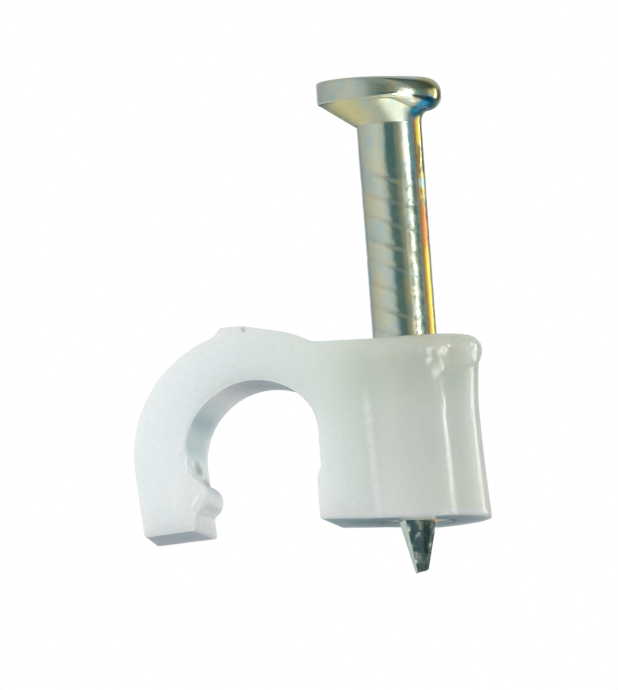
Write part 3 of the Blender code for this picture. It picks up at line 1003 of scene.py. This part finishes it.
roughness.feed(shader, "Roughness")
bump.feed(shader, "Normal")
shader.inputs["Metallic"].default_value = 1
nail.data.materials.append(steel)
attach(nail, "root")
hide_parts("nail")

# Camera: a long lens a little below the clip, turned and rolled as the photograph is. The height of
# its frame is measured where the clip is.
AZIMUTH = math.radians(9.74)
ELEVATION = math.radians(-5.86)
ROLL = math.radians(4.19)
LOOK_AT = Vector((-3.148, 0, 6.077)) * MM
CAMERA_DISTANCE = 400 * MM
FRAME_HEIGHT = 22.315 * MM
SENSOR = 36

right = Vector((math.cos(AZIMUTH), math.sin(AZIMUTH), 0))
level = Vector((-math.sin(AZIMUTH), math.cos(AZIMUTH), 0))
ahead = level * math.cos(ELEVATION)
ahead.z = -math.sin(ELEVATION)
up = right.cross(ahead)
camera = bpy.data.objects.new("camera", bpy.data.cameras.new("camera"))
bpy.context.scene.collection.objects.link(camera)
camera.data.sensor_width = SENSOR
camera.data.lens = SENSOR * CAMERA_DISTANCE / FRAME_HEIGHT
camera.data.clip_start = 1 * MM
axes = (
    math.cos(ROLL) * right - math.sin(ROLL) * up,
    math.sin(ROLL) * right + math.cos(ROLL) * up,
    -ahead,
)
turned = Matrix(axes).transposed().to_4x4()
camera.matrix_world = Matrix.Translation(LOOK_AT - ahead * CAMERA_DISTANCE) @ turned
bpy.context.scene.camera = camera

# Floor: a pale table far enough below the clip to leave the camera above it. Light that it would
# throw back up at the clip comes from the world instead, which is dimmer below than above.
FLOOR_Z = -38 * MM
FLOOR_REACH = 2
FLOOR_COLOUR = (0.8, 0.8, 0.8, 1)
FLOOR_ROUGHNESS = 0.9
bm = bmesh.new()
bmesh.ops.create_grid(bm, x_segments=1, y_segments=1, size=FLOOR_REACH)
bmesh.ops.translate(bm, verts=bm.verts, vec=(0, 0, FLOOR_Z))
floor = make_piece("floor", bm)
floor.visible_diffuse = False
floor.visible_glossy = False
paint = bpy.data.materials.new("floor_paint")
paint.use_nodes = True
shader = paint.node_tree.nodes["Principled BSDF"]
shader.inputs["Base Color"].default_value = FLOOR_COLOUR
shader.inputs["Roughness"].default_value = FLOOR_ROUGHNESS
floor.data.materials.append(paint)

# Tent: pale cloth walls round the table, with dark gaps and lit strips between them. Only
# reflections show it. Its panels are given by their bearing from the camera, and change with height.
TENT_RADIUS = 100 * MM
PANELS = (
    (-180, (0.16, 0.22, 0.28)),
    (-166, (0.22, 0.29, 0.34)),
    (-163, (0.60, 0.72, 0.72)),
    (-153, (0.60, 0.72, 0.72)),
    (-150, (0.24, 0.31, 0.35)),
    (-122, (0.46, 0.49, 0.43)),
    (-60, (0.66, 0.71, 0.64)),
    (-42, (0.68, 0.71, 0.62)),
    (-24, (0.50, 0.59, 0.56)),
    (-13, (0.08, 0.17, 0.16)),
    (9, (0.08, 0.16, 0.15)),
    (17, (0.22, 0.27, 0.18)),
    (30, (0.32, 0.34, 0.23)),
    (40, (0.70, 0.70, 0.58)),
    (47, (1.5, 1.5, 1.4)),
    (61, (1.5, 1.55, 1.5)),
    (66, (0.45, 0.62, 0.62)),
    (74, (0.19, 0.37, 0.38)),
    (92, (0.18, 0.30, 0.29)),
    (100, (0.34, 0.32, 0.24)),
    (108, (0.85, 0.85, 0.80)),
    (124, (0.95, 0.95, 0.90)),
    (127, (3.2, 3.2, 3.1)),
    (132, (3.2, 3.2, 3.1)),
    (135, (0.50, 0.50, 0.50)),
    (145, (0.05, 0.07, 0.11)),
    (153, (0.10, 0.14, 0.18)),
    (157, (0.45, 0.51, 0.49)),
    (166, (0.45, 0.51, 0.49)),
    (171, (0.16, 0.22, 0.28)),
    (180, (0.16, 0.22, 0.28)),
)
UPPER_PANELS = (
    (-180, (0.56, 0.58, 0.56)),
    (-120, (0.44, 0.48, 0.45)),
    (-40, (0.52, 0.55, 0.50)),
    (-12, (0.34, 0.39, 0.36)),
    (20, (0.24, 0.28, 0.22)),
    (45, (0.40, 0.42, 0.34)),
    (60, (0.30, 0.34, 0.30)),
    (70, (0.14, 0.19, 0.17)),
    (122, (0.06, 0.09, 0.08)),
    (150, (0.50, 0.52, 0.50)),
    (180, (0.56, 0.58, 0.56)),
)
LOWER_PANELS = (
    (-180, (0.02, 0.07, 0.11)),
    (-169, (0.08, 0.14, 0.17)),
    (-160, (0.66, 0.80, 0.78)),
    (-150, (0.62, 0.72, 0.66)),
    (-100, (0.50, 0.53, 0.42)),
    (-30, (0.46, 0.50, 0.40)),
    (-8, (0.10, 0.16, 0.17)),
    (8, (0.04, 0.09, 0.10)),
    (60, (0.05, 0.10, 0.11)),
    (110, (0.07, 0.11, 0.11)),
    (155, (0.14, 0.21, 0.23)),
    (169, (0.06, 0.11, 0.14)),
    (180, (0.02, 0.07, 0.11)),
)


def level_at(angle):
    """Height on a tent of radius 1, at so many degrees above its middle."""
    return math.sin(math.radians(angle))


UPPER_FROM = (level_at(12), level_at(24))
LOWER_FROM = (level_at(1), level_at(-5))
TABLE_FROM = (level_at(-20), level_at(-32))
TABLE_COLOUR = (0.78, 0.78, 0.65, 1)
NADIR_FROM = (level_at(-43), level_at(-60))
NADIR_COLOUR = (0.48, 0.58, 0.45, 1)
# The edges of the panels on the left lean, so that dents in a reflecting surface show as jogs.
LEAN = 0.4
LEAN_LEVEL = level_at(6)
LEAN_TURN = (0.45, 0.15)
# A lamp in front of the boss, and pale cards: bearing, height, where the edge fades, and brightness.
CARDS = (
    (58.5, 8.6, (0.072, 0.034), (18.0, 18.0, 18.0, 1)),
    (45, -9, (0.20, 0.06), (7.0, 7.0, 6.5, 1)),
    (172, -15, (0.10, 0.05), (0.9, 0.95, 0.9, 1)),
    (42, -28, (0.25, 0.18), (4.5, 4.5, 4.1, 1)),
    (76, -64, (0.27, 0.20), (2.4, 2.4, 2.0, 1)),
)
bm = bmesh.new()
bmesh.ops.create_uvsphere(bm, u_segments=96, v_segments=48, radius=TENT_RADIUS)
tent = make_piece("tent", bm)
tent.visible_camera = False
tent.visible_diffuse = False
tent.visible_transmission = False
tent.visible_shadow = False
cloth = bpy.data.materials.new("tent_cloth")
cloth.use_nodes = True
cloth.node_tree.nodes.clear()
wire = Wire(cloth.node_tree)
place = wire.node("TexCoord", output="Object")
x, y, z = place.axes()
turn = wire.node("Math", {0: x, 1: y * -1}, operation="ARCTAN2")
height = z / TENT_RADIUS
lean = (height - LEAN_LEVEL) * turn.ramp(*LEAN_TURN) * LEAN
share = wire.node("Math", {0: (turn - AZIMUTH + lean) / math.tau + 0.5}, operation="FRACT")
middle, upper, lower = (
    wire.node("ValToRGB", {0: share}, stops=[((angle + 180) / 360, shade) for angle, shade in panels])
    for panels in (PANELS, UPPER_PANELS, LOWER_PANELS)
)
colour = middle.mix(upper, height.ramp(*UPPER_FROM))
colour = colour.mix(lower, height.ramp(*LOWER_FROM))
colour = colour.mix(TABLE_COLOUR, height.ramp(*TABLE_FROM))
colour = colour.mix(NADIR_COLOUR, height.ramp(*NADIR_FROM))
for card_bearing, card_height, edge, card_colour in CARDS:
    card_turn = math.radians(card_bearing)
    outward = right * math.sin(card_turn) - level * math.cos(card_turn)
    centre = outward * math.cos(math.radians(card_height))
    centre.z = level_at(card_height)
    away = place.distance(centre * TENT_RADIUS) / TENT_RADIUS
    colour = colour.mix(card_colour, away.ramp(*edge))
glow = wire.node("Emission", {"Color": colour})
wire.node("OutputMaterial", {"Surface": glow}, output=None)
tent.data.materials.append(cloth)

# World: white to the eye and in reflections. As a light it is dimmer, most of all from below, so that
# undersides are shaded as they are over a table.
AMBIENT_ABOVE = 0.76
AMBIENT_BELOW = 0.34
AMBIENT_RISE = (-0.95, -0.2)
world = bpy.data.worlds.new("studio")
world.use_nodes = True
wire = Wire(world.node_tree)
path = wire.node("LightPath")
shown = path.out("Is Camera Ray").greater(path.out("Is Glossy Ray"))
shown = shown.greater(path.out("Is Transmission Ray"))
x, y, z = wire.node("TexCoord", output="Generated").axes()
ambient = AMBIENT_BELOW + z.ramp(*AMBIENT_RISE) * (AMBIENT_ABOVE - AMBIENT_BELOW)
strength = shown * (1 - ambient) + ambient
background = world.node_tree.nodes["Background"]
background.inputs["Color"].default_value = (1, 1, 1, 1)
strength.feed(background, "Strength")
bpy.context.scene.world = world

# Lamps: two soft boxes at the clip's own height, one in front of the hook and one behind the boss,
# whose light comes in under the arch from the back.
LAMPS = (
    ("front_lamp", Vector((-160, -160, 5)) * MM, 0.12),
    ("back_lamp", Vector((150, 170, 5)) * MM, 0.18),
)
LAMP_SIZE = 80 * MM
for name, place, power in LAMPS:
    lamp = bpy.data.objects.new(name, bpy.data.lights.new(name, "AREA"))
    bpy.context.scene.collection.objects.link(lamp)
    lamp.data.size = LAMP_SIZE
    lamp.data.energy = power
    lamp.location = place
    lamp.rotation_euler = (place - LOOK_AT).to_track_quat("Z", "Y").to_euler()
    lamp.visible_glossy = False

bpy.context.scene.view_settings.view_transform = "Standard"
